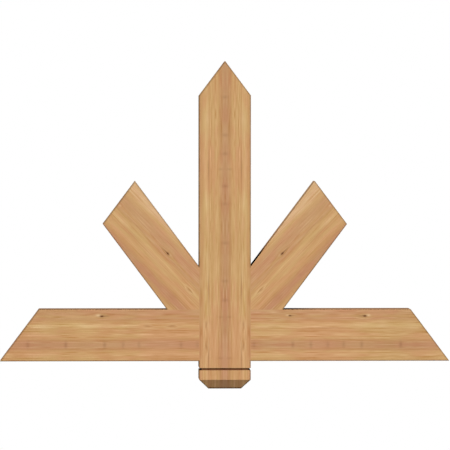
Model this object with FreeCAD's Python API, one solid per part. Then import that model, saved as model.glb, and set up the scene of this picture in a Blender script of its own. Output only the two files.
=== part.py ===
import FreeCAD, Part
import math
import os

# Decorative gable truss of five dressed cedar timbers, dowelled and glued up flush.
# The front view lies in X and Z, the back face on Y = 0 and the front face towards -Y.
# The origin is at mid span, on the back face, level with the underside of the bottom chord.

INCH = 25.4

# Roof and overall sizes
SPAN = 48 * INCH
PITCH_RISE = 16.0
PITCH_RUN = 12.0
TIMBER_DEPTH = 3.5 * INCH

# Face widths of the timbers in front view
POST_FACE = 5.5 * INCH
CHORD_FACE = 5.5 * INCH
STRUT_FACE = 5.5 * INCH

# Radius of the front and back edges of the outline, eased after glue-up
EASED_EDGE = INCH / 16

# Pendant below the chord, from its tip upwards
PENDANT_DROP = 3 * INCH
TIP_CHAMFER = 1 * INCH
TIP_BAND = 1 * INCH
GROOVE_HEIGHT = INCH / 4
GROOVE_DEPTH = INCH / 8

# Fluted glue dowels and their bores
DOWEL_DIAMETER = 0.625 * INCH
DOWEL_CHAMFER = 1.5
FLUTE_COUNT = 18
FLUTE_DEPTH = 0.6
DOWEL_FIT = 0.1
GLUE_ROOM = 2.0

# How far the dowels reach into each timber
REACH_IN_POST = 1.75 * INCH
REACH_IN_CHORD_END = 2.5 * INCH
REACH_IN_CHORD_TOP = 2.25 * INCH
REACH_IN_STRUT_SIDE = 2.25 * INCH
REACH_IN_STRUT_FOOT = 2.25 * INCH

# Distance between the two dowels of each joint
CHORD_DOWEL_SPACING = 2.75 * INCH
STRUT_DOWEL_SPACING = 1.75 * INCH
FOOT_DOWEL_SPACING = 1.875 * INCH

# Places that follow from the sizes
PITCH = math.atan2(PITCH_RISE, PITCH_RUN)
SLOPE = PITCH_RISE / PITCH_RUN
RISE = SPAN / 2 * SLOPE
POST_SIDE = POST_FACE / 2
MID_DEPTH = -TIMBER_DEPTH / 2

# The strut's centre line runs into the corner of post and chord, so half its face bears on each.
SEAT_ON_POST = STRUT_FACE / 2 / math.cos(PITCH)
SEAT_ON_CHORD = STRUT_FACE / 2 / math.sin(PITCH)

RIGHT = FreeCAD.Vector(1, 0, 0)
UP = FreeCAD.Vector(0, 0, 1)


def roof_height(x):
    """Height of the right roof line at distance x from mid span."""
    return RISE - SLOPE * x


def strut_end(x, z):
    """Point where a strut edge that starts at (x, z) runs out at the right roof line."""
    run = (roof_height(x) - z) / (2 * SLOPE)
    return (x + run, z + SLOPE * run)


def chord_outline():
    """Front outline of the right chord half, anticlockwise from the post."""
    return [
        (POST_SIDE, 0),
        (SPAN / 2, 0),
        (SPAN / 2 - CHORD_FACE / SLOPE, CHORD_FACE),
        (POST_SIDE, CHORD_FACE),
    ]


def strut_outline():
    """Front outline of the right strut, anticlockwise from the corner of post and chord."""
    corner = (POST_SIDE, CHORD_FACE)
    foot = (POST_SIDE + SEAT_ON_CHORD, CHORD_FACE)
    shoulder = (POST_SIDE, CHORD_FACE + SEAT_ON_POST)
    return [corner, foot, strut_end(*foot), strut_end(*shoulder), shoulder]


def post_outline():
    """Front outline of the king post, before its pendant is shaped."""
    return [
        (-POST_SIDE, -PENDANT_DROP),
        (POST_SIDE, -PENDANT_DROP),
        (POST_SIDE, roof_height(POST_SIDE)),
        (0, RISE),
        (-POST_SIDE, roof_height(POST_SIDE)),
    ]


def truss_outline():
    """Front outline of the whole truss, anticlockwise from the pendant's right corner."""
    right_half = [
        (POST_SIDE, -PENDANT_DROP),
        *chord_outline()[:3],
        *strut_outline()[1:],
        (POST_SIDE, roof_height(POST_SIDE)),
    ]
    left_half = [(-x, z) for x, z in reversed(right_half)]
    return [*right_half, (0, RISE), *left_half]


def flat_face(ring):
    """Flat face inside a ring of points."""
    return Part.Face(Part.makePolygon([*ring, ring[0]]))


def flat_sided_solid(rings):
    """Solid through rings of as many points each, with flat faces between one ring and the next."""
    faces = [flat_face(rings[0]), flat_face(rings[-1])]
    for near, far in zip(rings, rings[1:]):
        for i in range(len(near)):
            faces.append(flat_face([near[i - 1], near[i], far[i], far[i - 1]]))
    return Part.makeSolid(Part.makeShell(faces))


def square_timber(outline):
    """Timber of a front outline and the full depth, with square edges."""
    ring = [FreeCAD.Vector(x, 0, z) for x, z in outline]
    return flat_face(ring).extrude(FreeCAD.Vector(0, -TIMBER_DEPTH, 0))


def eased_envelope():
    """The whole truss as one body, with the front and back edges of its outline rounded over."""
    body = square_timber(truss_outline())
    rims = [edge for edge in body.Edges if edge.BoundBox.YLength < EASED_EDGE]
    return body.makeFillet(EASED_EDGE, rims)


def post_section(margin, z):
    """Corners of the post's cross-section at height z, smaller by a margin all round."""
    half_face = POST_SIDE - margin
    near = -TIMBER_DEPTH + margin
    far = -margin
    corners = [(-half_face, near), (half_face, near), (half_face, far), (-half_face, far)]
    return [FreeCAD.Vector(x, y, z) for x, y in corners]


def shape_pendant(post):
    """The post with its tip chamfered on four sides and a groove cut round above the tip."""
    chamfer_top = -PENDANT_DROP + TIP_CHAMFER
    sections = [
        post_section(TIP_CHAMFER, -PENDANT_DROP),
        post_section(0, chamfer_top),
        post_section(0, RISE),
    ]
    tipped = post.common(flat_sided_solid(sections))
    groove_bottom = chamfer_top + TIP_BAND
    full = flat_face(post_section(0, groove_bottom))
    core = flat_face(post_section(GROOVE_DEPTH, groove_bottom))
    return tipped.cut(full.cut(core).extrude(UP * GROOVE_HEIGHT))


def timbers():
    """The five timbers by name, without their dowel bores."""
    envelope = eased_envelope()
    made = {"king_post": shape_pendant(square_timber(post_outline()).common(envelope))}
    for side, hand in (("left", -1), ("right", 1)):
        for kind, outline in (("chord", chord_outline()), ("strut", strut_outline())):
            handed = [(hand * x, z) for x, z in outline]
            made[f"{side}_{kind}"] = square_timber(handed).common(envelope)
    return made


class DowelPlace:
    """Where one dowel sits: its middle on the joint, and the two timbers that it ties together."""

    def __init__(self, name, mouth, direction, start, end):
        self.name = name
        self.mouth = mouth
        self.direction = direction
        self.start_timber, self.start_reach = start
        self.end_timber, self.end_reach = end

    def placed(self, shape, start_reach):
        """A shape that stands on +Z, laid along the dowel's line from its start reach."""
        origin = self.mouth - self.direction * start_reach
        shape.Placement = FreeCAD.Placement(origin, FreeCAD.Rotation(UP, self.direction))
        return shape

    def dowel(self):
        """The fluted dowel in its place."""
        return self.placed(fluted_dowel(self.start_reach + self.end_reach), self.start_reach)

    def bore(self):
        """The hole through both timbers, with room for glue beyond each end of the dowel."""
        length = self.start_reach + self.end_reach + 2 * GLUE_ROOM
        drill = Part.makeCylinder(DOWEL_DIAMETER / 2 + DOWEL_FIT, length)
        return self.placed(drill, self.start_reach + GLUE_ROOM)


def fluted_section(scale, z):
    """Points of the dowel's section at height z: crests on its radius and flutes between them."""
    points = []
    for i in range(2 * FLUTE_COUNT):
        radius = scale * (DOWEL_DIAMETER / 2 - FLUTE_DEPTH * (i % 2))
        angle = math.pi * i / FLUTE_COUNT
        points.append(FreeCAD.Vector(radius * math.cos(angle), radius * math.sin(angle), z))
    return points


def fluted_dowel(length):
    """Grooved dowel on +Z, tapered at both ends, with flutes that let the glue spread."""
    tip_scale = 1 - 2 * DOWEL_CHAMFER / DOWEL_DIAMETER
    sections = [
        fluted_section(tip_scale, 0),
        fluted_section(1, DOWEL_CHAMFER),
        fluted_section(1, length - DOWEL_CHAMFER),
        fluted_section(tip_scale, length),
    ]
    return flat_sided_solid(sections)


def dowel_places(side, hand):
    """The six dowels on one side of the post."""
    chord = f"{side}_chord"
    strut = f"{side}_strut"
    outwards = RIGHT * hand
    side_joints = (
        (chord, CHORD_FACE / 2, CHORD_DOWEL_SPACING, REACH_IN_CHORD_END),
        (strut, CHORD_FACE + SEAT_ON_POST / 2, STRUT_DOWEL_SPACING, REACH_IN_STRUT_SIDE),
    )
    places = []
    for timber, middle, spacing, reach in side_joints:
        for level, step in (("lower", -0.5), ("upper", 0.5)):
            mouth = FreeCAD.Vector(hand * POST_SIDE, MID_DEPTH, middle + step * spacing)
            ends = (("king_post", REACH_IN_POST), (timber, reach))
            places.append(DowelPlace(f"{timber}_{level}_dowel", mouth, outwards, *ends))
    for row, step in (("front", -0.5), ("back", 0.5)):
        depth = MID_DEPTH + step * FOOT_DOWEL_SPACING
        mouth = FreeCAD.Vector(hand * (POST_SIDE + SEAT_ON_CHORD / 2), depth, CHORD_FACE)
        ends = ((chord, REACH_IN_CHORD_TOP), (strut, REACH_IN_STRUT_FOOT))
        places.append(DowelPlace(f"{side}_foot_{row}_dowel", mouth, UP, *ends))
    return places


def truss():
    """Every piece of the truss by name."""
    pieces = timbers()
    for place in dowel_places("left", -1) + dowel_places("right", 1):
        for timber in (place.start_timber, place.end_timber):
            pieces[timber] = pieces[timber].cut(place.bore())
        pieces[place.name] = place.dowel()
    return pieces


os.makedirs("parts", exist_ok=True)
for name, shape in truss().items():
    shape.exportStep(f"parts/{name}.step")
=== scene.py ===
"""Looks of the decorative gable truss: five dressed cedar timbers on hidden hardwood dowels."""

import cmath
import logging
import math
from dataclasses import dataclass
from enum import Enum
from typing import Optional, Union

import bpy
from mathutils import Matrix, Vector


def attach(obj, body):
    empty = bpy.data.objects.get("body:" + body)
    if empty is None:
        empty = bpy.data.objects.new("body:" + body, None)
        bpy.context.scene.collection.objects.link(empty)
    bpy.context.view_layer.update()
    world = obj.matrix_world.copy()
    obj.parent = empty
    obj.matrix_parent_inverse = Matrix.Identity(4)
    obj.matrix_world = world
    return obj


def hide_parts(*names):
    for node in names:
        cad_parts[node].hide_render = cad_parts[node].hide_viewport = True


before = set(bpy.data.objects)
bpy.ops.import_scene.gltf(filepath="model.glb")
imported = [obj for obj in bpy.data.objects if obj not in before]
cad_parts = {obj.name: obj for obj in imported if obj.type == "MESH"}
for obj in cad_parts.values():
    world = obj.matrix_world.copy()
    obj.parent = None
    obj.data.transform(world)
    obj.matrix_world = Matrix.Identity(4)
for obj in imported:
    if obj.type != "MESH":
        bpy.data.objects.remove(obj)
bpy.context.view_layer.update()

log = logging.getLogger("gable_truss")

Socket = bpy.types.NodeSocket
Value = Union[float, tuple, Socket]
Key = Union[int, str]
Inputs = dict[Key, Value]
Line = list[tuple[float, float]]

# Sizes shared by several pieces, in millimetres, with the back face on Y = 0
INCH = 25.4
METRES = 0.001
HALF_SPAN = 24 * INCH
PEAK = 32 * INCH
SLOPE = PEAK / HALF_SPAN
PITCH = math.atan(SLOPE)
TIMBER_DEPTH = 3.5 * INCH
FRONT_FACE = -TIMBER_DEPTH
MID_DEPTH = -TIMBER_DEPTH / 2
POST_SIDE = 2.75 * INCH
CHORD_FACE = 5.5 * INCH
STRUT_FACE = 5.5 * INCH
SEAT_ON_POST = STRUT_FACE / 2 / math.cos(PITCH)
SEAT_ON_CHORD = STRUT_FACE / 2 / math.sin(PITCH)

WHITE = (1.0, 1.0, 1.0, 1.0)


class Hand(Enum):
    """Side of the post that a piece is on, seen from the front."""

    LEFT = -1
    RIGHT = 1

    def word(self) -> str:
        """Name of the side as it stands in node names."""
        return self.name.lower()


class Channel(Enum):
    """What a mark does to the wood around it."""

    DARK = "Dark"
    LIGHT = "Light"
    HUE = "Hue"
    PUSH = "Push"


def tone(*levels: int) -> tuple[float, ...]:
    """Shader colour of a screen colour, its red, green and blue each from 11 to 255."""
    return (*(((level / 255 + 0.055) / 1.055) ** 2.4 for level in levels), 1.0)


def stand(name: str, data: bpy.types.ID) -> bpy.types.Object:
    """Put a new object into the scene.

    Args:
        name: Its name.
        data: Its mesh, light or camera.

    Returns:
        The object.
    """
    made = bpy.data.objects.new(name, data)
    bpy.context.scene.collection.objects.link(made)
    return made


@dataclass(frozen=True)
class Cedar:
    """Finish of the timbers: dressed cedar, clear and matt, with shade painted into its colour, and lengths
    in millimetres.
    """

    rosy_heart: tuple = tone(190, 142, 104)
    brown_edge: tuple = tone(191, 143, 99)
    tan: tuple = tone(200, 155, 106)
    warm_tan: tuple = tone(204, 159, 111)
    honey: tuple = tone(204, 162, 112)
    straw: tuple = tone(209, 168, 117)
    russet: tuple = tone(195, 149, 102)
    rosewood: tuple = tone(196, 149, 108)
    sapwood: tuple = tone(214, 171, 129)
    pith: tuple = tone(168, 116, 84)
    # The knot colour is also the colour of the painted shade on the floors of the post's groove
    knot: tuple = tone(96, 56, 34)
    pale_fleck: tuple = tone(224, 190, 146)
    pink_tint: tuple = (0.99, 0.93, 0.968, 1.0)
    olive_tint: tuple = (0.99, 1.052, 1.018, 1.0)
    streak_swing: tuple = (0.64, 1.0, 1.52)

    # Growth rings
    ring_range: float = 140.0
    ring_spacing: float = 4.2
    ring_depth: float = 0.06
    end_ring_depth: float = 0.27
    ring_line_reach: tuple = (2.6, 420.0, 1.0)
    ring_line_swing: float = 0.09
    latewood_power: float = 2.5
    latewood_end: float = 0.90
    sway: float = 4.0
    sway_reach: tuple = (210.0, 150.0, 150.0)

    # Fibres by length and width, and the seed steps to their other patterns
    fine_fibre: tuple = (18.0, 0.9)
    fine_swing: float = 0.10
    broad_fibre: tuple = (60.0, 13.0)
    broad_swing: float = 0.06
    drift_fibre: tuple = (170.0, 110.0)
    patch_fibre: tuple = (55.0, 11.0)
    patch_pattern: float = 31.0
    line_pattern: float = 3.0

    # Changes of hue
    hue_swing: float = 0.5
    hue_of_marks: float = 0.16
    hue_limit: float = 0.25

    # Roughness and relief
    roughness: float = 0.72
    fibre_roughness: float = 0.14
    knot_polish: float = 0.12
    latewood_height: float = 0.35
    streak_height: float = 2.0
    bump_strength: float = 0.12
    bump_distance: float = 0.0004
    specular: float = 0.0

    # Painted shade along edges and on narrow faces, the darker tone of end grain, and the facings between
    # which each sets in
    painted_arris_shade: float = 0.32
    arris_strip: tuple = (2.2, 4.0)
    painted_side_shade: float = 0.28
    end_shade: float = 0.12
    narrow_facing: tuple = (0.2, 0.6)
    face_facing: tuple = (0.3, 0.6)
    end_facing: tuple = (0.5, 0.9)

    def bands(self) -> list[tuple[float, tuple]]:
        """Colours of the growth bands, by distance from the pith.

        Returns:
            The distance and the colour of each.
        """
        return [
            (0.0, self.pith), (40.0, self.rosy_heart), (44.5, self.rosy_heart), (45.2, self.rosewood),
            (46.0, self.brown_edge), (48.2, self.tan), (49.8, self.warm_tan), (53.5, self.warm_tan),
            (56.0, self.tan), (62.0, self.tan), (65.0, self.honey), (68.5, self.straw), (72.0, self.honey),
            (75.5, self.tan), (79.0, self.russet), (84.5, self.rosewood), (88.0, self.russet),
            (94.0, self.rosewood), (110.0, self.rosewood), (126.0, self.warm_tan), (135.0, self.sapwood),
        ]

    def lines(self) -> list[tuple[float, float, float, float]]:
        """Width, run, whole swing and broken swing of each set of grain lines."""
        return [(2.4, 46.0, 0.14, 0.84), (3.6, 60.0, 0.05, 0.46), (9.0, 65.0, 0.03, 0.18)]


@dataclass(frozen=True)
class DowelWood:
    """Finish of the dowels: pale close-grained hardwood, left bare, with lengths in millimetres."""

    pale: tuple = tone(206, 180, 140)
    brown: tuple = tone(186, 155, 112)
    pale_share: tuple = (0.25, 0.75)
    roughness: float = 0.62
    fibre_roughness: float = 0.2
    specular: float = 0.25
    fibre: tuple = (14.0, 0.7)
    seed: float = 4.4
    bump_strength: float = 0.1
    bump_distance: float = 0.0003


class NodeDesk:
    """Places and joins the nodes of one shader or geometry tree."""

    NUMBER_RESULTS = ("LENGTH", "DOT_PRODUCT", "DISTANCE")
    NOISE_ROUGHNESS = 0.55

    def __init__(self, tree: bpy.types.NodeTree) -> None:
        """Keep the node tree to work in."""
        self.tree = tree

    def feed(self, sockets: bpy.types.NodeInputs, inputs: Inputs) -> None:
        """Link sockets to others, or set their own values.

        Args:
            sockets: Inputs of a node.
            inputs: An output socket or a plain value for some of them, by name or number.
        """
        for key, value in inputs.items():
            if isinstance(value, Socket):
                self.tree.links.new(value, sockets[key])
            else:
                sockets[key].default_value = value

    def add(self, kind: str, inputs: Optional[Inputs] = None, **settings: object) -> bpy.types.Node:
        """Add a node.

        Args:
            kind: Blender's name of the node type.
            inputs: What feeds its inputs.
            settings: Properties to set on it.

        Returns:
            The new node.
        """
        node = self.tree.nodes.new(kind)
        for name, value in settings.items():
            setattr(node, name, value)
        self.feed(node.inputs, inputs or {})
        return node

    def out(self, kind: str, output: Key, inputs: Optional[Inputs] = None, **settings: object) -> Socket:
        """One output of a new node, by its name or number."""
        return self.add(kind, inputs, **settings).outputs[output]

    def math(self, operation: str, *values: Value, clamp: bool = False) -> Socket:
        """Result of a Math node, kept between 0 and 1 if it is clamped."""
        return self.out("ShaderNodeMath", 0, dict(enumerate(values)), operation=operation, use_clamp=clamp)

    def times(self, first: Value, second: Value, plus: Value = 0.0) -> Socket:
        """Product of two numbers, plus a third."""
        return self.math("MULTIPLY_ADD", first, second, plus)

    def vector(self, operation: str, *values: Value) -> Socket:
        """Result of a Vector Math node, a number for the operations that give one."""
        output = "Value" if operation in self.NUMBER_RESULTS else "Vector"
        return self.out("ShaderNodeVectorMath", output, dict(enumerate(values)), operation=operation)

    def scaled(self, vector: Value, factor: Value) -> Socket:
        """Vector or colour times a number."""
        return self.out("ShaderNodeVectorMath", "Vector", {0: vector, "Scale": factor}, operation="SCALE")

    def mix(self, blend: str, factor: Value, first: Value, second: Value) -> Socket:
        """First colour with a share of the second blended in."""
        inputs = {0: factor, 6: first, 7: second}
        return self.out("ShaderNodeMix", 2, inputs, data_type="RGBA", blend_type=blend)

    def noise(self, place: Value, seed: Value) -> Socket:
        """Soft noise around one half, with lumps one unit across, in the pattern of a seed."""
        inputs = {"Vector": place, "W": seed, "Scale": 1.0, "Detail": 1.0, "Roughness": self.NOISE_ROUGHNESS}
        return self.out("ShaderNodeTexNoise", "Fac", inputs, noise_dimensions="4D")

    def about_zero(self, noise: Value, size: float) -> Socket:
        """Noise around one half turned into a swing around zero."""
        return self.times(noise, 2 * size, -size)

    def split(self, vector: Value) -> tuple[Socket, ...]:
        """The three parts of a vector."""
        return tuple(self.add("ShaderNodeSeparateXYZ", {"Vector": vector}).outputs)

    def join(self, x: Value, y: Value, z: Value) -> Socket:
        """Vector of three parts."""
        return self.out("ShaderNodeCombineXYZ", 0, {"X": x, "Y": y, "Z": z})

    def range(self, value: Value, low: float, high: float, start: float, end: float) -> Socket:
        """Number mapped smoothly, from start at low to end at high."""
        inputs = dict(enumerate((value, low, high, start, end)))
        return self.out("ShaderNodeMapRange", 0, inputs, interpolation_type="SMOOTHSTEP")

    def rising(self, value: Value, low: float, high: float) -> Socket:
        """Mask that is empty up to low and full from high."""
        return self.range(value, low, high, 0.0, 1.0)

    def falling(self, value: Value, low: float, high: float) -> Socket:
        """Mask that is full up to low and empty from high."""
        return self.range(value, low, high, 1.0, 0.0)


class MaterialDesk(NodeDesk):
    """Desk of a new material's tree, with the inputs of its shader."""

    def __init__(self, name: str) -> None:
        """Make the material.

        Args:
            name: Its name.
        """
        self.material = bpy.data.materials.new(name)
        self.material.use_nodes = True
        super().__init__(self.material.node_tree)
        self.shader = self.tree.nodes["Principled BSDF"].inputs

    def coat(self, finish: Union[Cedar, DowelWood], colour: Socket, rough: Socket, height: Socket) -> None:
        """Let the shader show a wood.

        Args:
            finish: Its gloss and depth of relief.
            colour: Its colour.
            rough: Its roughness.
            height: Its relief.
        """
        relief = {"Strength": finish.bump_strength, "Distance": finish.bump_distance, "Height": height}
        self.feed(self.shader, {
            "Base Color": colour, "Roughness": rough, "Specular IOR Level": finish.specular,
            "Normal": self.out("ShaderNodeBump", "Normal", relief)})


class ShaderGroup:
    """A shader node group with named inputs and outputs, built once and placed in many materials."""

    def __init__(self, name: str, vectors: list[str], values: list[str], results: dict[str, str]) -> None:
        """Make the group, up to its output node.

        Args:
            name: Name of the group.
            vectors: Names of its vector inputs.
            values: Names of its number inputs.
            results: Kind of each named output.
        """
        self.tree = bpy.data.node_groups.new(name, "ShaderNodeTree")
        inputs = dict.fromkeys(vectors, "Vector") | dict.fromkeys(values, "Float")
        for way, sockets in (("INPUT", inputs), ("OUTPUT", results)):
            for label, kind in sockets.items():
                self.tree.interface.new_socket(label, in_out=way, socket_type=f"NodeSocket{kind}")
        self.desk = NodeDesk(self.tree)
        self.given = self.desk.add("NodeGroupInput").outputs

    def place(self, desk: NodeDesk, **inputs: Value) -> bpy.types.NodeOutputs:
        """Outputs of the group placed in a tree, fed by name with underscores for spaces."""
        named = {label.replace("_", " "): value for label, value in inputs.items()}
        return desk.add("ShaderNodeGroup", named, node_tree=self.tree).outputs


class GrainMarkGroup(ShaderGroup):
    """Adds one soft oval mark in the grain to a running sum, plain or as a push to both sides."""

    def __init__(self) -> None:
        """Build the group."""
        vectors = ["Grain", "Centre", "Reach"]
        super().__init__("grain_mark", vectors, ["Weight", "Sum"], {"Sum": "Float", "Push": "Float"})
        desk = self.desk
        given = self.given
        away = desk.vector("SUBTRACT", given["Grain"], given["Centre"])
        share = desk.vector("DIVIDE", away, given["Reach"])
        mask = desk.math("EXPONENT", desk.times(desk.vector("DOT_PRODUCT", share, share), -1.0))
        amount = desk.times(mask, given["Weight"])
        push = desk.times(amount, desk.split(share)[2], given["Sum"])
        desk.add("NodeGroupOutput", {"Sum": desk.math("ADD", amount, given["Sum"]), "Push": push})


class OutlineEdgeGroup(ShaderGroup):
    """Distance to the nearest edge of a timber's front outline, one edge after another."""

    FAR_OFF = 1000.0

    def __init__(self) -> None:
        """Build the group."""
        super().__init__("outline_edge", ["Place", "Start", "Run"], ["Nearest"], {"Nearest": "Float"})
        desk = self.desk
        run = self.given["Run"]
        away = desk.vector("SUBTRACT", self.given["Place"], self.given["Start"])
        along = desk.vector("DOT_PRODUCT", away, run)
        share = desk.math("DIVIDE", along, desk.vector("DOT_PRODUCT", run, run), clamp=True)
        off = desk.vector("DISTANCE", away, desk.scaled(run, share))
        desk.add("NodeGroupOutput", {"Nearest": desk.math("MINIMUM", off, self.given["Nearest"])})


class FibreGroup(ShaderGroup):
    """Soft fibres drawn out along the grain, for any wood."""

    def __init__(self) -> None:
        """Build the group."""
        super().__init__("wood_fibre", ["Grain"], ["Seed", "Length", "Width"], {"Fibre": "Float"})
        given = self.given
        reach = self.desk.join(given["Length"], given["Width"], given["Width"])
        fibre = self.desk.noise(self.desk.vector("DIVIDE", given["Grain"], reach), given["Seed"])
        self.desk.add("NodeGroupOutput", {"Fibre": fibre})

    def drawn(self, desk: NodeDesk, grain: Value, seed: Value, length: Value, width: Value) -> Socket:
        """Fibres of a length and width, in the pattern of a seed."""
        return self.place(desk, Grain=grain, Seed=seed, Length=length, Width=width)["Fibre"]


class GrainLineGroup(ShaderGroup):
    """Straight grain lines that keep their place across the timber and come and go along it."""

    REACH = 600.0
    SPREAD = 4.0
    BREAK_PATTERN = 17.0
    BREAK_SWING = 2.0

    def __init__(self, fibre: FibreGroup) -> None:
        """Build the group.

        Args:
            fibre: Group of soft fibres.
        """
        results = {"Whole": "Float", "Broken": "Float"}
        super().__init__("grain_line", ["Grain"], ["Seed", "Width", "Run"], results)
        desk = self.desk
        grain, seed, width, run = (self.given[label] for label in ("Grain", "Seed", "Width", "Run"))
        whole = desk.about_zero(fibre.drawn(desk, grain, seed, self.REACH, width), 1.0)
        other_seed = desk.math("ADD", seed, self.BREAK_PATTERN)
        breaks = fibre.drawn(desk, grain, other_seed, run, desk.times(width, self.SPREAD))
        broken = desk.times(whole, desk.about_zero(breaks, self.BREAK_SWING))
        desk.add("NodeGroupOutput", {"Whole": whole, "Broken": broken})


class CedarGroup(ShaderGroup):
    """Colour, roughness and height of cedar, from a place in the timber's own grain."""

    def __init__(self, finish: Cedar, fibre: FibreGroup, lines: GrainLineGroup) -> None:
        """Build the group.

        Args:
            finish: Colours and strengths of the wood.
            fibre: Group of soft fibres.
            lines: Group of grain lines.
        """
        values = ["Seed", "Push", "Dark", "Light", "Hue", "Figure", "End Grain", "Shade"]
        results = {"Color": "Color", "Roughness": "Float", "Height": "Float"}
        super().__init__("cedar_grain", ["Grain"], values, results)
        self.finish = finish
        self.fibre = fibre
        desk = self.desk
        along, depth, across = desk.split(self.given["Grain"])
        pushed = desk.math("SUBTRACT", across, self.given["Push"])
        sway = self.swing(desk.join(along, depth, pushed), finish.sway_reach, finish.sway)
        radius = desk.vector("LENGTH", desk.join(0.0, depth, desk.math("ADD", pushed, sway)))
        self.folded = desk.join(along, depth, desk.math("ABSOLUTE", pushed))
        part = desk.math("FRACT", desk.math("DIVIDE", radius, finish.ring_spacing))
        rise = desk.math("POWER", part, finish.latewood_power)
        latewood = desk.times(rise, desk.falling(part, finish.latewood_end, 1.0))
        ring_line = self.swing(desk.join(radius, along, 0.0), finish.ring_line_reach, finish.ring_line_swing)
        fine = self.fibres(finish.fine_fibre)
        streak = desk.math("ADD", self.streaks(latewood, fine, lines), ring_line)
        rough = desk.times(fine, finish.fibre_roughness, finish.roughness - finish.fibre_roughness / 2)
        height = desk.times(streak, finish.streak_height, fine)
        desk.add("NodeGroupOutput", {
            "Color": self.colour(radius, streak),
            "Roughness": desk.times(self.given["Dark"], -finish.knot_polish, rough),
            "Height": desk.times(latewood, finish.latewood_height, height)})

    def swing(self, place: Value, reach: tuple[float, float, float], size: float) -> Socket:
        """Noise in the timber's own pattern, drawn out to a reach, as a swing around zero."""
        noise = self.desk.noise(self.desk.vector("DIVIDE", place, reach), self.given["Seed"])
        return self.desk.about_zero(noise, size)

    def fibres(self, size: tuple[float, float], pattern: float = 0.0) -> Socket:
        """Fibres of a length and width, in the timber's own pattern or another."""
        seed = self.desk.math("ADD", self.given["Seed"], pattern)
        return self.fibre.drawn(self.desk, self.folded, seed, *size)

    def streaks(self, latewood: Value, fine: Value, lines: GrainLineGroup) -> Socket:
        """Lighter and darker streaks of the rings, fibres and grain lines.

        Args:
            latewood: Mask of the late part of each ring.
            fine: The fine fibres.
            lines: Group of grain lines.

        Returns:
            The streaks, around zero.
        """
        desk = self.desk
        finish = self.finish
        ring = desk.times(self.given["End Grain"], -finish.end_ring_depth, -finish.ring_depth)
        streak = desk.times(latewood, ring, desk.about_zero(fine, finish.fine_swing))
        broad = desk.about_zero(self.fibres(finish.broad_fibre), finish.broad_swing)
        figure = 0.0
        for number, (width, run, whole, broken) in enumerate(finish.lines()):
            seed = desk.math("ADD", self.given["Seed"], finish.line_pattern * number)
            line = lines.place(desk, Grain=self.folded, Seed=seed, Width=width, Run=run)
            figure = desk.times(line["Whole"], whole, figure)
            figure = desk.times(line["Broken"], broken, figure)
        return desk.times(figure, self.given["Figure"], desk.math("ADD", streak, broad))

    def band_colour(self, radius: Value) -> Socket:
        """Colour of the growth bands.

        Args:
            radius: Distance from the pith.

        Returns:
            The colour.
        """
        share = self.desk.math("DIVIDE", radius, self.finish.ring_range)
        ramp = self.desk.add("ShaderNodeValToRGB", {0: share})
        stops = ramp.color_ramp.elements
        for index, (distance, colour) in enumerate(self.finish.bands()):
            place = distance / self.finish.ring_range
            stop = stops[index] if index < 2 else stops.new(place)
            stop.position = place
            stop.color = colour
        return ramp.outputs["Color"]

    def tint(self) -> Socket:
        """Tint that drifts between pink and olive, led by the marks of hue.

        Returns:
            The tint.
        """
        desk = self.desk
        finish = self.finish
        drift = desk.about_zero(self.fibres(finish.drift_fibre), finish.hue_swing)
        patch = desk.about_zero(self.fibres(finish.patch_fibre, finish.patch_pattern), finish.hue_swing)
        hue = desk.math("ADD", desk.times(self.given["Hue"], finish.hue_of_marks, drift), patch)
        share = desk.rising(hue, -finish.hue_limit, finish.hue_limit)
        return desk.mix("MIX", share, finish.pink_tint, finish.olive_tint)

    def colour(self, radius: Value, streak: Value) -> Socket:
        """Colour of the wood with its tint, streaks, end-grain tone, painted shade and marks.

        Args:
            radius: Distance from the pith.
            streak: The streaks.

        Returns:
            The colour.
        """
        desk = self.desk
        finish = self.finish
        colour = desk.mix("MULTIPLY", 1.0, self.band_colour(radius), self.tint())
        swing = desk.vector("MULTIPLY_ADD", streak, finish.streak_swing, WHITE[:3])
        # End grain is darker by the wood's own tone; the Shade input is painted shade
        shade = desk.times(self.given["End Grain"], finish.end_shade, self.given["Shade"])
        lit = desk.math("SUBTRACT", 1.0, shade, clamp=True)
        colour = desk.scaled(desk.vector("MULTIPLY", colour, swing), lit)
        # The Dark share also carries the painted shade of the groove's floors, in the knot colour
        for channel, stain in ((Channel.LIGHT, finish.pale_fleck), (Channel.DARK, finish.knot)):
            share = desk.math("MINIMUM", self.given[channel.value], 1.0)
            colour = desk.mix("MIX", share, colour, stain)
        return colour


class WoodShop:
    """The shader groups and finishes that the timbers and dowels share."""

    def __init__(self) -> None:
        """Build the groups."""
        self.cedar = Cedar()
        self.dowel = DowelWood()
        self.fibre = FibreGroup()
        self.mark = GrainMarkGroup()
        self.edge = OutlineEdgeGroup()
        self.grain = CedarGroup(self.cedar, self.fibre, GrainLineGroup(self.fibre))


class SurfaceDesk(MaterialDesk):
    """Desk of a timber's material, with the place in millimetres and the facing of its surface."""

    def __init__(self, name: str, shop: WoodShop) -> None:
        """Make the material.

        Args:
            name: Its name.
            shop: Shared groups and finishes.
        """
        super().__init__(name)
        self.shop = shop
        self.place = self.scaled(self.out("ShaderNodeTexCoord", "Object"), 1 / METRES)
        self.flat = self.vector("MULTIPLY", self.place, (1.0, 0.0, 1.0))
        self.normal = self.out("ShaderNodeNewGeometry", "Normal")
        self.facing = self.split(self.normal)[1]

    def inside(self, axis: int, middle: float, half: float) -> Socket:
        """How far a place lies inside two planes across an axis, each half away from the middle."""
        off_middle = self.math("SUBTRACT", self.split(self.place)[axis], middle)
        return self.math("SUBTRACT", half, self.math("ABSOLUTE", off_middle))

    def under_face(self) -> Socket:
        """Depth of a place under the nearer broad face."""
        return self.inside(1, MID_DEPTH, TIMBER_DEPTH / 2)


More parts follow.
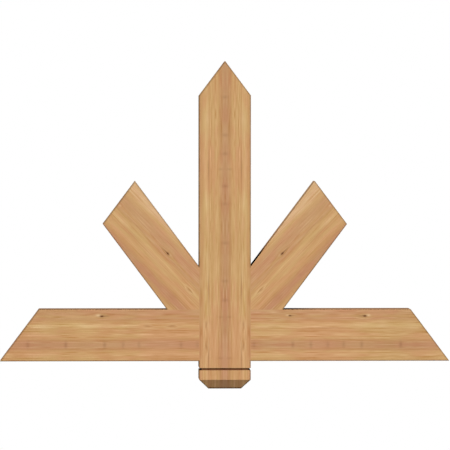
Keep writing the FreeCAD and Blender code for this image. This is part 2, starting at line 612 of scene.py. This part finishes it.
@dataclass(frozen=True)
class Mark:
    """One mark in the grain, placed in the part's frame, in millimetres."""

    channel: Channel
    x: float
    z: float
    length: float
    width: float
    weight: float
    y: float = FRONT_FACE
    reach_in: float = 24.0

    @classmethod
    def smudge(cls, x: float, z: float, weight: float) -> "Mark":
        """Dark smudge across the heart of a timber."""
        return cls(Channel.DARK, x, z, 4.6, 9.0, weight)


@dataclass(frozen=True)
class GrainLine:
    """Line of the pith in a timber, at mid depth, in millimetres and radians."""

    x: float
    z: float
    angle: float
    turn: int = 1

    def axis(self) -> tuple[float, float, float]:
        """Direction of the grain."""
        return (math.cos(self.angle), 0.0, math.sin(self.angle))

    def local(self, x: float, y: float, z: float) -> tuple[float, float, float]:
        """A place of the part as its places along the grain, in depth and across."""
        grain = complex(x - self.x, z - self.z) * cmath.rect(1.0, -self.angle)
        return (grain.real, y - MID_DEPTH, self.turn * grain.imag)

    def step(self, x: float, z: float, along: float, across: float) -> tuple[float, float]:
        """A place of the front view, a step away along and across the grain."""
        moved = complex(x, z) + complex(along, self.turn * across) * cmath.rect(1.0, self.angle)
        return (moved.real, moved.imag)

    def coordinates(self, desk: NodeDesk) -> Socket:
        """Grain coordinates in millimetres, from Object coordinates.

        Args:
            desk: The material's tree.

        Returns:
            The coordinates.
        """
        inputs = {
            "Vector": desk.out("ShaderNodeTexCoord", "Object"),
            "Location": (self.x * METRES, MID_DEPTH * METRES, self.z * METRES),
            "Rotation": (0.0, -self.angle, 0.0),
            "Scale": (METRES, METRES, METRES * self.turn),
        }
        return desk.out("ShaderNodeMapping", "Vector", inputs, vector_type="TEXTURE")

    def knot(self, x: float, z: float, size: float, fleck: float, gleam: float) -> list[Mark]:
        """Pin knot: dark core, thin trailing line, pale fleck, and the grain swept round it.

        Args:
            x: Place in X.
            z: Place in Z.
            size: Half the width of the core.
            fleck: How far along the grain the pale fleck lies.
            gleam: Strength of the pale fleck.

        Returns:
            The marks that make it.
        """
        trail = self.step(x, z, -3.5 * math.copysign(size, fleck), 0)
        pale = self.step(x, z, fleck, 0.9 * size)
        return [
            Mark(Channel.PUSH, x, z, 8 * size, 3.0 * size, 3.6 * size),
            Mark(Channel.LIGHT, *pale, 2.4 * size, 1.1 * size, gleam),
            Mark(Channel.DARK, *trail, 4.5 * size, 0.6 * size, 0.42),
            Mark(Channel.DARK, x, z, 3.2 * size, 1.7 * size, 0.16),
            Mark(Channel.DARK, x, z, 1.8 * size, 1.0 * size, 0.72),
        ]

    def flame(self, x: float, z: float, length: float, width: float, lean: float) -> list[Mark]:
        """Dark wedge with pale lines round it, where the grain runs past both sides.

        Args:
            x: Place in X.
            z: Place in Z.
            length: Half its length.
            width: Half its width.
            lean: Way along the grain that the wedge points, 1 or -1.

        Returns:
            The marks that make it.
        """
        tip = self.step(x, z, 0.6 * lean * length, 0)
        marks = [
            Mark(Channel.PUSH, x, z, length, width, 2.4 * width),
            Mark(Channel.DARK, x, z, 0.45 * length, 0.55 * width, 0.20),
            Mark(Channel.DARK, *tip, 0.55 * length, 0.25 * width, 0.18),
        ]
        for side in (-1.25 * width, 1.25 * width):
            pale = self.step(x, z, 0.3 * lean * length, side)
            marks.append(Mark(Channel.LIGHT, *pale, length, 0.32 * width, 0.34))
        return marks


@dataclass(frozen=True)
class Corner:
    """Inner corner between two timbers, where shade is painted because little light gets in, in millimetres.
    """

    x: float
    z: float
    reach: float
    depth: float
    hold: float = 0.0

    def shade(self, desk: SurfaceDesk) -> Socket:
        """Painted shade towards the corner."""
        away = desk.vector("DISTANCE", desk.flat, (self.x, 0.0, self.z))
        return desk.range(away, self.hold, self.reach, self.depth, 0.0)


@dataclass
class Timber:
    """One cedar timber, shown by its CAD node, with a desk from when it is dressed."""

    hand: Hand = Hand.RIGHT
    seed: float = 1.0
    figure: float = 1.0
    kind: str = "timber"
    desk: Optional[SurfaceDesk] = None

    def node(self) -> str:
        """Name of the CAD node."""
        return f"{self.hand.word()}_{self.kind}"

    def line(self) -> GrainLine:
        """Line of the pith."""
        raise NotImplementedError

    def marks(self) -> list[Mark]:
        """The marks that can be told apart in its grain."""
        raise NotImplementedError

    def outline(self) -> list[Line]:
        """Edges of the front outline along which shade is painted."""
        raise NotImplementedError

    def corner(self) -> Corner:
        """Corner of painted shade, where the narrow faces get least light."""
        raise NotImplementedError

    def handed(self, line: Line) -> Line:
        """Line of the right half of the truss, turned over for the left."""
        return [(self.hand.value * x, z) for x, z in line]

    def arris(self) -> Socket:
        """Strip of painted shade along the eased front and back edges.

        Returns:
            Its mask.
        """
        desk = self.desk
        edge = desk.shop.edge
        nearest = edge.FAR_OFF
        for line in self.outline():
            for (x, z), (end_x, end_z) in zip(line, line[1:]):
                run = (end_x - x, 0.0, end_z - z)
                placed = edge.place(desk, Place=desk.flat, Start=(x, 0.0, z), Run=run, Nearest=nearest)
                nearest = placed["Nearest"]
        strip = desk.shop.cedar.arris_strip
        return desk.times(desk.falling(nearest, *strip), desk.falling(desk.under_face(), *strip))

    def shade(self) -> Socket:
        """Painted shade along the edges, on the narrow faces and down in the corner.

        Returns:
            The painted shade, from 0.
        """
        desk = self.desk
        cedar = desk.shop.cedar
        narrow = desk.falling(desk.math("ABSOLUTE", desk.facing), *cedar.narrow_facing)
        dim = desk.math("ADD", self.corner().shade(desk), cedar.painted_side_shade)
        return desk.times(narrow, dim, desk.times(self.arris(), cedar.painted_arris_shade))

    def face_grain(self) -> Socket:
        """Grain coordinates with the depth of the face held over chamfers and eased edges.

        Returns:
            Coordinates in which the lines run on straight.
        """
        desk = self.desk
        along, depth, across = desk.split(self.line().coordinates(desk))
        held = desk.times(desk.math("SIGN", desk.facing), TIMBER_DEPTH / 2)
        share = desk.rising(desk.math("ABSOLUTE", desk.facing), *desk.shop.cedar.face_facing)
        kept = desk.times(desk.math("SUBTRACT", held, depth), share, depth)
        return desk.join(along, kept, across)

    def end_grain(self) -> Socket:
        """Mask of the cuts across the grain."""
        along = self.desk.vector("DOT_PRODUCT", self.desk.normal, self.line().axis())
        return self.desk.rising(self.desk.math("ABSOLUTE", along), *self.desk.shop.cedar.end_facing)

    def mark_sums(self, grain: Value) -> dict[str, Value]:
        """Lay all marks into the grain.

        Args:
            grain: Grain coordinates.

        Returns:
            What the marks add up to, by name of the channel.
        """
        sums = {channel.value: 0.0 for channel in Channel}
        for mark in self.marks():
            name = mark.channel.value
            placed = self.desk.shop.mark.place(
                self.desk, Grain=grain, Centre=self.line().local(mark.x, mark.y, mark.z),
                Reach=(mark.length, mark.reach_in, mark.width), Weight=mark.weight, Sum=sums[name])
            sums[name] = placed["Push" if mark.channel is Channel.PUSH else "Sum"]
        return sums

    def dress(self, shop: WoodShop) -> bpy.types.Object:
        """Give the CAD node its own cedar.

        Args:
            shop: Shared groups and finishes.

        Returns:
            The dressed node.
        """
        self.desk = SurfaceDesk(f"cedar_{self.node()}", shop)
        grain = self.face_grain()
        wood = shop.grain.place(
            self.desk, Grain=grain, Seed=self.seed, Figure=self.figure, End_Grain=self.end_grain(),
            Shade=self.shade(), **self.mark_sums(grain))
        self.desk.coat(shop.cedar, wood["Color"], wood["Roughness"], wood["Height"])
        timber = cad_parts[self.node()]
        timber.data.materials.clear()
        timber.data.materials.append(self.desk.material)
        return timber


@dataclass
class KingPost(Timber):
    """The upright post, from the grooved pendant to the peak."""

    seed: float = 1.7
    shoulder: float = PEAK - POST_SIDE * SLOPE
    chamfer_top: float = -2 * INCH
    edge_clearance: float = 0.2
    left_strip_setback: float = 1.2
    # Painted shade in the corner with the left strut
    corner_reach: float = 60.0
    corner_painted_shade: float = 0.25

    # Painted shade in the groove round the pendant
    groove_bottom: float = -1 * INCH
    groove_top: float = -0.75 * INCH
    groove_depth: float = 0.125 * INCH
    groove_sunk_share: float = 0.4
    groove_wall_fade: float = 0.5
    groove_lit: float = 1.0
    groove_floor_painted_shade: float = 0.93
    groove_end_reach: float = 3.2
    groove_end_fade: float = 1.5
    groove_end_painted_shade: float = 0.97

    # Painted shade along the edges of the chamfered tip
    tip_chamfer: float = 1 * INCH
    tip_rim_width: float = 4.6
    tip_hip_width: float = 4.0
    tip_edge_fade: float = 1.0
    tip_under_fade: float = 0.6
    tip_edge_painted_shade: float = 0.52

    def node(self) -> str:
        """Name of the CAD node."""
        return "king_post"

    def line(self) -> GrainLine:
        """Line of the pith, up the middle."""
        return GrainLine(0, 0, math.pi / 2)

    def outline(self) -> list[Line]:
        """Both sides above the struts, the cuts of the peak, and both sides of the pendant.

        Returns:
            The edges.
        """
        joint = CHORD_FACE + SEAT_ON_POST
        off_left = -POST_SIDE - self.left_strip_setback
        return [
            [(POST_SIDE, joint), (POST_SIDE, self.shoulder), (0, PEAK)],
            [(-POST_SIDE, self.shoulder), (0, PEAK)],
            [(off_left, joint), (off_left, self.shoulder)],
            [(off_left, 0), (off_left, self.chamfer_top)],
            [(POST_SIDE, 0), (POST_SIDE, self.chamfer_top)],
        ]

    def corner(self) -> Corner:
        """Corner of painted shade with the left strut."""
        return Corner(-POST_SIDE, CHORD_FACE + SEAT_ON_POST, self.corner_reach, self.corner_painted_shade)

    def pair(self, channel: Channel, off_heart: float, z: float, *sizes: float) -> list[Mark]:
        """The same mark on both sides of the heart."""
        return [Mark(channel, x, z, *sizes) for x in (-off_heart, off_heart)]

    def marks(self) -> list[Mark]:
        """Smudges up the heart, paired side marks, flames beside the chord and changes of hue.

        Returns:
            The marks.
        """
        smudges = (
            (715, 0.16), (612, 0.17), (562, 0.19), (474, 0.20), (426, 0.15), (320, 0.19), (217, 0.18),
            (165, 0.19),
        )
        bright = ((656, 0.36), (612, 0.20), (431, 0.20), (372, 0.20), (282, 0.18), (233, 0.26))
        hues = ((655, 50, 0.9), (515, 55, -1.2), (375, 30, 0.6), (235, 40, 0.5), (65, 95, -2.3))
        marks = [Mark.smudge(0, z, weight) for z, weight in smudges]
        for z in (520, 119.5, 8):
            marks += self.pair(Channel.DARK, 12, z, 3.4, 7.0, 0.15)
        marks += self.pair(Channel.DARK, 42, 305, 50, 26, 0.03)
        marks.append(Mark(Channel.LIGHT, 0, 25, 70, 17, 0.12))
        marks.append(Mark(Channel.LIGHT, 0, -66, 13, 18, 0.12))
        for z, lean in ((101, -1), (38, 1)):
            for x in (-50.5, 49.5):
                marks += self.line().flame(x, z, 17, 5.0, lean)
        for z in (520, 195, 5):
            marks += self.pair(Channel.DARK, 44.5, z, 36, 1.4, 0.32)
        for z, weight in bright:
            marks += self.pair(Channel.LIGHT, 48.5, z, 21, 5.5, weight)
        for z, length, weight in hues:
            marks += self.pair(Channel.HUE, 42, z, length, 26, weight)
        return marks

    def insets(self) -> tuple[Socket, Socket]:
        """How far a place is inside the post's narrow sides and its broad faces."""
        return self.desk.inside(0, 0.0, POST_SIDE), self.desk.under_face()

    def groove(self) -> tuple[Socket, Socket]:
        """Painted shade in the groove, above the strip that the light reaches.

        Returns:
            The mask of the long floors, and that of their ends with the narrow sides.
        """
        desk = self.desk
        off_side, off_face = self.insets()
        inset = desk.math("MINIMUM", off_side, off_face)
        sunk = desk.rising(inset, self.edge_clearance, self.groove_sunk_share * self.groove_depth)
        dark_bottom = self.groove_bottom + self.groove_lit
        half = (self.groove_top - dark_bottom) / 2
        level = desk.inside(2, dark_bottom + half, half)
        between = desk.rising(level, -self.groove_wall_fade, -self.edge_clearance)
        dark = desk.times(sunk, between)
        reach = self.groove_depth + self.groove_end_reach
        ends = desk.times(dark, desk.falling(off_side, reach, reach + self.groove_end_fade))
        return desk.math("SUBTRACT", dark, ends), ends

    def tip_painted_edges(self) -> Socket:
        """Painted shade along the edges between and below the chamfers of the tip.

        Returns:
            Their mask.
        """
        desk = self.desk
        fade = self.tip_edge_fade
        off_side, off_face = self.insets()
        inset = desk.math("MINIMUM", off_side, off_face)
        rim_top = self.tip_chamfer - self.tip_rim_width
        rim = desk.rising(inset, rim_top, rim_top + fade)
        under = (self.tip_chamfer + self.edge_clearance, self.tip_chamfer + self.tip_under_fade)
        apart = desk.math("ABSOLUTE", desk.math("SUBTRACT", off_side, off_face))
        hip = desk.falling(apart, self.tip_hip_width - fade, self.tip_hip_width)
        edges = desk.times(desk.math("MAXIMUM", rim, hip), desk.falling(inset, *under))
        height = desk.split(desk.place)[2]
        return desk.times(edges, desk.falling(height, self.chamfer_top - fade, self.chamfer_top))

    def mark_sums(self, grain: Value) -> dict[str, Value]:
        """What the marks in the grain and the painted shade of the groove's floors add up to."""
        sums = super().mark_sums(grain)
        return sums | {"Dark": self.desk.times(self.groove()[0], self.groove_floor_painted_shade, sums["Dark"])}

    def shade(self) -> Socket:
        """Painted shade, also along the tip's edges and in the groove's ends."""
        shade = self.desk.times(self.tip_painted_edges(), self.tip_edge_painted_shade, super().shade())
        return self.desk.times(self.groove()[1], self.groove_end_painted_shade, shade)


@dataclass
class ChordHalf(Timber):
    """One half of the bottom chord."""

    kind: str = "chord"
    heart: float = 44.3
    top_end: float = HALF_SPAN - CHORD_FACE / SLOPE
    bright_band: float = 96.0
    bright_width: float = 8.5
    hue_bands: tuple = (2, 95)
    hue_width: float = 30
    # Painted shadow that the strut casts on the chord's top beyond its foot
    corner_reach: float = 120.0
    lit_corner_painted_shadow: float = 0.10
    dim_corner_painted_shadow: float = 0.55

    def line(self) -> GrainLine:
        """Line of the pith, level and below the middle."""
        return GrainLine(0, self.heart, 0)

    def outline(self) -> list[Line]:
        """The roof cut and the underside."""
        return [self.handed([(self.top_end, CHORD_FACE), (HALF_SPAN, 0), (POST_SIDE, 0)])]

    def corner(self) -> Corner:
        """Painted shadow of the strut beyond its foot, deepest on the side away from the key lamp."""
        depth = self.lit_corner_painted_shadow if self.hand is Hand.LEFT else self.dim_corner_painted_shadow
        return Corner(self.hand.value * (POST_SIDE + SEAT_ON_CHORD), CHORD_FACE, self.corner_reach, depth)

    def smudges(self, *places: tuple[float, float]) -> list[Mark]:
        """Dark smudges across the heart band, each by its place in X and darkness."""
        return [Mark.smudge(x, self.heart, weight) for x, weight in places]

    def bright_patches(self, *places: tuple[float, float, float]) -> list[Mark]:
        """Patches in the pale band above the heart, each by its place in X, half length and strength."""
        return [Mark(Channel.LIGHT, x, self.bright_band, length, self.bright_width, weight)
                for x, length, weight in places]

    def hues(self, *places: tuple[float, float, float]) -> list[Mark]:
        """Changes of hue below and above the heart, each by its place in X, half length and strength."""
        return [Mark(Channel.HUE, x, z, length, self.hue_width, weight)
                for x, length, weight in places for z in self.hue_bands]

    def marks(self) -> list[Mark]:
        """Knots near the top, smudges along the heart, bright patches and changes of hue.

        Returns:
            The marks.
        """
        line = self.line()
        if self.hand is Hand.LEFT:
            return [
                *line.knot(-334, 122, 2.5, -9, 0.95),
                *line.flame(-212, 95, 17, 5.0, 1),
                *line.flame(-142, 95, 17, 5.0, -1),
                *self.smudges(
                    (-534, 0.208), (-431, 0.26), (-326, 0.234), (-276, 0.169), (-233, 0.156),
                    (-119, 0.195), (-75, 0.13)),
                *self.bright_patches((-490, 20, 0.28), (-380, 24, 0.26), (-330, 26, 0.16)),
                *self.hues((-460, 110, 0.7), (-200, 110, -1.3)),
                Mark(Channel.LIGHT, -200, self.heart, 95, 13, 0.10),
                Mark(Channel.DARK, -262, 95, 34, 28, 0.045),
                Mark(Channel.DARK, -440, 90, 24, 30, 0.03),
                Mark(Channel.DARK, -520, 60, 80, 70, 0.045),
            ]
        return [
            *line.knot(176, 123, 1.7, -7, 0.70),
            *line.knot(380, 122, 2.5, 9, 0.95),
            *self.smudges(
                (79, 0.182), (184, 0.221), (233, 0.208), (279, 0.156), (322, 0.182), (371, 0.234),
                (477, 0.234)),
            *self.bright_patches(
                (120, 28, 0.20), (187, 16, 0.12), (363, 24, 0.16), (428, 18, 0.22), (509, 16, 0.16)),
            *self.hues((430, 110, 0.7), (115, 60, 1.2), (265, 60, -1.2)),
            Mark(Channel.DARK, 279, 89.6, 46, 1.2, 0.16),
            Mark(Channel.LIGHT, 250, self.heart, 45, 13, 0.10),
            Mark(Channel.DARK, 490, 60, 80, 75, 0.05),
        ]


@dataclass
class Strut(Timber):
    """One raking strut, with grain that runs out a little towards its upper side."""

    kind: str = "strut"
    seed: float = 9.5
    figure: float = 0.72
    grain_angle: float = math.radians(45.5)
    pith_offset: float = 16.0
    lower_tip: tuple = (331.0, 371.5)
    upper_tip: tuple = (243.7, 487.9)
    shoulder: tuple = (POST_SIDE, CHORD_FACE + SEAT_ON_POST)
    # Painted shade in the corner between post and strut
    corner_reach: float = 95.0
    corner_painted_shade: float = 0.75
    corner_hold: float = 22.0

    def line(self) -> GrainLine:
        """Line of the pith, a little above the corner of post and chord.

        Returns:
            The line.
        """
        side = self.hand.value
        angle = self.grain_angle if self.hand is Hand.RIGHT else math.pi - self.grain_angle
        x = -side * self.pith_offset * math.sin(self.grain_angle)
        return GrainLine(x, self.pith_offset * math.cos(self.grain_angle), angle, side)

    def outline(self) -> list[Line]:
        """The lower side and the roof cut, and on the left the upper side too."""
        rim = [(POST_SIDE + SEAT_ON_CHORD, CHORD_FACE), self.lower_tip, self.upper_tip, self.shoulder]
        return [self.handed(rim if self.hand is Hand.LEFT else rim[:-1])]

    def corner(self) -> Corner:
        """Corner of painted shade between post and strut."""
        [(x, z)] = self.handed([self.shoulder])
        return Corner(x, z, self.corner_reach, self.corner_painted_shade, self.corner_hold)

    def marks(self) -> list[Mark]:
        """Pin knot, flame at the foot, pale flecks near the tip and changes of hue.

        Returns:
            The marks.
        """
        side = self.hand.value
        placed = (
            (Channel.DARK, 170, 307, 15, 1.3, 0.16),
            (Channel.LIGHT, 209, 409, 22, 4.5, 0.30),
            (Channel.LIGHT, 232, 428, 16, 3.0, 0.25),
            (Channel.LIGHT, 276, 377, 18, 7.0, 0.20),
            (Channel.LIGHT, 198, 287, 36, 8.0, 0.18),
            (Channel.LIGHT, 284, 421.6, 3.5, 2.2, 0.50),
            (Channel.HUE, 140, 168, 40, 22, -2.0),
            (Channel.HUE, 95, 155, 40, 24, -1.2),
            (Channel.HUE, 203, 233, 14, 9, -1.6),
            (Channel.HUE, 230, 330, 60, 16, 0.8),
            (Channel.DARK, 248, 343, 30, 8, 0.07),
            (Channel.DARK, 140, 176, 16, 9, 0.06),
            (Channel.DARK, 203, 233, 6, 4, 0.08),
        )
        marks = self.line().knot(side * 155, 291.5, 2.4, -7, 0.30)
        marks += self.line().flame(side * 98, 193, 18, 4.5, -1)
        return marks + [Mark(channel, side * x, *rest) for channel, x, *rest in placed]


@dataclass
class GlueDowels:
    """The twelve fluted dowels inside the joints, in millimetres."""

    diameter: float = 0.625 * INCH
    taper: float = 1.5
    flutes: int = 18
    flute_depth: float = 0.6
    points_in_flute: int = 6
    reach_in_post: float = 1.75 * INCH
    reach_in_chord_end: float = 2.5 * INCH
    reach_in_strut_side: float = 2.25 * INCH
    reach_in_foot: float = 2.25 * INCH
    chord_spacing: float = 2.75 * INCH
    strut_spacing: float = 1.75 * INCH
    foot_spacing: float = 1.875 * INCH

    def nodes(self) -> list[str]:
        """Names of the CAD dowels."""
        joints = ("chord_lower", "chord_upper", "strut_lower", "strut_upper", "foot_front", "foot_back")
        return [f"{hand.word()}_{joint}_dowel" for hand in Hand for joint in joints]

    def lines(self) -> list[tuple[Vector, Vector]]:
        """Where the dowels lie.

        Returns:
            Start and end of each dowel.
        """
        start = POST_SIDE - self.reach_in_post
        foot = POST_SIDE + SEAT_ON_CHORD / 2
        low = CHORD_FACE - self.reach_in_foot
        high = CHORD_FACE + self.reach_in_foot
        rows = (
            (CHORD_FACE / 2, self.chord_spacing, POST_SIDE + self.reach_in_chord_end),
            (CHORD_FACE + SEAT_ON_POST / 2, self.strut_spacing, POST_SIDE + self.reach_in_strut_side),
        )
        right = []
        for step in (-0.5, 0.5):
            for level, spacing, end in rows:
                z = level + step * spacing
                right.append(((start, MID_DEPTH, z), (end, MID_DEPTH, z)))
            y = MID_DEPTH + step * self.foot_spacing
            right.append(((foot, y, low), (foot, y, high)))
        return [tuple(Vector((hand.value * x, y, z)) for x, y, z in ends) for hand in Hand for ends in right]

    def centre_lines(self) -> bpy.types.Object:
        """Mesh of the dowels' centre lines, with the girth and the turn of the flutes at each point.

        Returns:
            The object that holds them.
        """
        tip = 1 - 2 * self.taper / self.diameter
        points = []
        edges = []
        girths = []
        turns = []
        for start, end in self.lines():
            step = (end - start).normalized() * self.taper
            first = len(points)
            points += [point * METRES for point in (start, start + step, end - step, end)]
            edges += [(first + i, first + i + 1) for i in range(3)]
            girths += [tip, 1.0, 1.0, tip]
            turns += [0.0 if step.z > 0 else math.pi / self.flutes] * 4
        mesh = bpy.data.meshes.new("glue_dowels")
        mesh.from_pydata(points, edges, [])
        for name, numbers in (("girth", girths), ("turn", turns)):
            mesh.attributes.new(name, "FLOAT", "POINT").data.foreach_set("value", numbers)
        return stand("glue_dowels", mesh)

    def carried(self, desk: NodeDesk, name: str) -> Socket:
        """Number that each point of the centre lines carries under a name."""
        return desk.out("GeometryNodeInputNamedAttribute", "Attribute", {"Name": name}, data_type="FLOAT")

    def stored(self, desk: NodeDesk, kind: str, geometry: Socket, name: str, value: Socket) -> Socket:
        """Geometry whose points carry a value of some kind under a name."""
        inputs = {"Geometry": geometry, "Name": name, "Value": value}
        return desk.out("GeometryNodeStoreNamedAttribute", "Geometry", inputs, data_type=kind)

    def tree(self) -> bpy.types.NodeTree:
        """Geometry tree that sweeps a fluted round along each centre line.

        Returns:
            The tree, with named inputs for its sizes.
        """
        tree = bpy.data.node_groups.new("fluted_dowels", "GeometryNodeTree")
        kinds = {"Geometry": "Geometry", "Diameter": "Float", "Flutes": "Int", "Flute Depth": "Float"}
        for label, kind in (*kinds.items(), ("Material", "Material")):
            tree.interface.new_socket(label, in_out="INPUT", socket_type=f"NodeSocket{kind}")
        tree.interface.new_socket("Geometry", in_out="OUTPUT", socket_type="NodeSocketGeometry")
        desk = NodeDesk(tree)
        given = desk.add("NodeGroupInput").outputs
        curves = desk.out("GeometryNodeMeshToCurve", "Curve", {"Mesh": given["Geometry"]})
        tilt = {"Curve": curves, "Tilt": self.carried(desk, "turn")}
        turned = desk.out("GeometryNodeSetCurveTilt", "Curve", tilt)
        run = desk.out("GeometryNodeSplineParameter", "Length")
        swept = desk.out("GeometryNodeCurveToMesh", "Mesh", {
            "Curve": self.stored(desk, "FLOAT", turned, "run", run),
            "Profile Curve": self.fluted_round(desk, given),
            "Scale": self.carried(desk, "girth"), "Fill Caps": True})
        whole = desk.out("GeometryNodeRealizeInstances", "Geometry", {"Geometry": swept})
        dressed = {"Geometry": whole, "Material": given["Material"]}
        finished = desk.out("GeometryNodeSetMaterial", "Geometry", dressed)
        desk.add("NodeGroupOutput", {"Geometry": finished})
        return tree

    def fluted_round(self, desk: NodeDesk, given: bpy.types.NodeOutputs) -> Socket:
        """Section of a dowel: crests on its radius and rounded flutes between them.

        Args:
            desk: The geometry tree.
            given: The tree's inputs.

        Returns:
            The section's curve.
        """
        radius = desk.times(given["Diameter"], 0.5)
        count = desk.times(given["Flutes"], self.points_in_flute)
        circle = {"Resolution": count, "Radius": radius}
        index = desk.out("GeometryNodeInputIndex", "Index")
        wave = desk.math("COSINE", desk.times(index, 2 * math.pi / self.points_in_flute))
        sunk = desk.times(desk.times(wave, -0.5, 0.5), given["Flute Depth"])
        factor = desk.math("SUBTRACT", 1.0, desk.math("DIVIDE", sunk, radius))
        fluted = desk.out("GeometryNodeSetPosition", "Geometry", {
            "Geometry": desk.out("GeometryNodeCurvePrimitiveCircle", "Curve", circle),
            "Position": desk.scaled(desk.out("GeometryNodeInputPosition", "Position"), factor)})
        flank = desk.out("GeometryNodeInputPosition", "Position")
        return self.stored(desk, "FLOAT_VECTOR", fluted, "flank", flank)

    def finish(self, shop: WoodShop) -> bpy.types.Material:
        """Bare hardwood with close fibres along each dowel.

        Args:
            shop: Shared groups and finishes.

        Returns:
            The material.
        """
        wood = shop.dowel
        desk = MaterialDesk("bare_hardwood")
        run = desk.out("ShaderNodeAttribute", "Fac", attribute_name="run")
        flank = desk.split(desk.out("ShaderNodeAttribute", "Vector", attribute_name="flank"))
        grain = desk.scaled(desk.join(run, flank[0], flank[1]), 1 / METRES)
        fibre = shop.fibre.drawn(desk, grain, wood.seed, *wood.fibre)
        colour = desk.mix("MIX", desk.rising(fibre, *wood.pale_share), wood.brown, wood.pale)
        rough = desk.times(fibre, wood.fibre_roughness, wood.roughness - wood.fibre_roughness / 2)
        desk.coat(wood, colour, rough, fibre)
        return desk.material

    def build(self, shop: WoodShop) -> bpy.types.Object:
        """Make the dowels as one mesh and let them stand for the CAD dowels.

        Args:
            shop: Shared groups and finishes.

        Returns:
            The dowels.
        """
        dowels = self.centre_lines()
        modifier = dowels.modifiers.new("fluted_dowels", "NODES")
        modifier.node_group = self.tree()
        values = {
            "Diameter": self.diameter * METRES, "Flutes": self.flutes,
            "Flute Depth": self.flute_depth * METRES, "Material": self.finish(shop),
        }
        for item in modifier.node_group.interface.items_tree:
            if item.in_out == "INPUT" and item.name in values:
                modifier[item.identifier] = values[item.name]
        evaluated = dowels.evaluated_get(bpy.context.evaluated_depsgraph_get())
        mesh = bpy.data.meshes.new_from_object(evaluated)
        mesh.name = "glue_dowels"
        dowels.modifiers.remove(modifier)
        dowels.data = mesh
        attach(dowels, "root")
        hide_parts(*self.nodes())
        return dowels


@dataclass(frozen=True)
class Lamp:
    """A wide soft lamp far away, by its direction from the object, brightness and width in degrees."""

    name: str
    towards: tuple
    strength: float
    softness: float
    distance: float = 5.0

    def hang(self) -> None:
        """Hang the lamp, so bright that a white face square to it shows its strength."""
        light = bpy.data.lights.new(self.name, "SUN")
        light.energy = math.pi * self.strength
        light.angle = math.radians(self.softness)
        lamp = stand(self.name, light)
        direction = Vector(self.towards).normalized()
        lamp.rotation_euler = direction.to_track_quat("Z", "Y").to_euler()
        lamp.location = direction * self.distance


@dataclass
class Studio:
    """Plain pale floor, soft light and the camera of the front view, in metres and degrees."""

    floor_height: float = -0.55
    floor_half: float = 1.5
    floor_colour: tuple = (0.32, 0.32, 0.32, 1.0)
    floor_roughness: float = 0.9
    floor_glow: float = 0.82
    ambient: float = 0.2
    lamps: tuple = (
        Lamp("key_lamp", (-0.30, -0.82, 0.48), 0.958, 30),
        Lamp("right_lamp", (0.99, 0.05, 0.12), 0.35, 50),
        Lamp("back_lamp", (0.30, 0.95, 0.02), 0.7, 40),
    )
    sensor: float = 36.0
    lens: float = 279.79
    sight: float = 60.0
    camera_place: tuple = (-0.339, -9.549, 0.585)
    camera_turn: tuple = (90 - 1.3078, -0.0322, -2.0501)

    def seen(self, desk: NodeDesk) -> Socket:
        """Mask of the rays that show the background rather than light the object.

        Args:
            desk: The tree that asks.

        Returns:
            The mask.
        """
        path = desk.add("ShaderNodeLightPath").outputs
        mirrored = desk.math("MAXIMUM", path["Is Glossy Ray"], path["Is Transmission Ray"])
        return desk.math("MAXIMUM", path["Is Camera Ray"], mirrored)

    def lay_floor(self) -> None:
        """Lay the floor, white to the camera and shaded by the object's shadow."""
        signs = ((-1, -1), (1, -1), (1, 1), (-1, 1))
        corners = [(x * self.floor_half, y * self.floor_half, self.floor_height) for x, y in signs]
        mesh = bpy.data.meshes.new("floor")
        mesh.from_pydata(corners, [], [(0, 1, 2, 3)])
        floor = stand("floor", mesh)
        desk = MaterialDesk("studio_floor")
        desk.feed(desk.shader, {
            "Base Color": self.floor_colour, "Roughness": self.floor_roughness, "Specular IOR Level": 0.0,
            "Emission Color": WHITE, "Emission Strength": desk.times(self.seen(desk), self.floor_glow)})
        mesh.materials.append(desk.material)

    def fill_world(self) -> None:
        """White world behind everything, with a low even light on the object."""
        world = bpy.data.worlds.new("studio_world")
        world.use_nodes = True
        desk = NodeDesk(world.node_tree)
        strength = desk.range(self.seen(desk), 0.0, 1.0, self.ambient, 1.0)
        desk.feed(desk.tree.nodes["Background"].inputs, {"Color": WHITE, "Strength": strength})
        bpy.context.scene.world = world

    def set_camera(self) -> None:
        """Stand the camera a little left of the middle and above it, far off."""
        data = bpy.data.cameras.new("front_camera")
        data.sensor_width = self.sensor
        data.lens = self.lens
        data.clip_end = self.sight
        camera = stand("front_camera", data)
        camera.location = self.camera_place
        camera.rotation_mode = "XYZ"
        camera.rotation_euler = [math.radians(turn) for turn in self.camera_turn]
        bpy.context.scene.camera = camera


def main() -> None:
    """Dress the timbers, make the dowels, set up the studio and report each piece."""
    logging.basicConfig(level=logging.INFO, format="%(name)s: %(message)s")
    bpy.context.scene.view_settings.view_transform = "Standard"
    shop = WoodShop()
    timbers: list[Timber] = [KingPost()]
    for hand, seed in ((Hand.LEFT, 4.3), (Hand.RIGHT, 6.3)):
        timbers.append(ChordHalf(hand, seed))
        timbers.append(Strut(hand))
    for timber in timbers:
        log.info("%s dressed with %d grain marks", timber.dress(shop).name, len(timber.marks()))
    dowels = GlueDowels().build(shop)
    log.info("%s made with %d faces", dowels.name, len(dowels.data.polygons))
    studio = Studio()
    studio.lay_floor()
    log.info("floor laid")
    studio.fill_world()
    for lamp in studio.lamps:
        lamp.hang()
        log.info("%s hung", lamp.name)
    studio.set_camera()
    log.info("front_camera set")


if __name__ == "__main__":
    main()
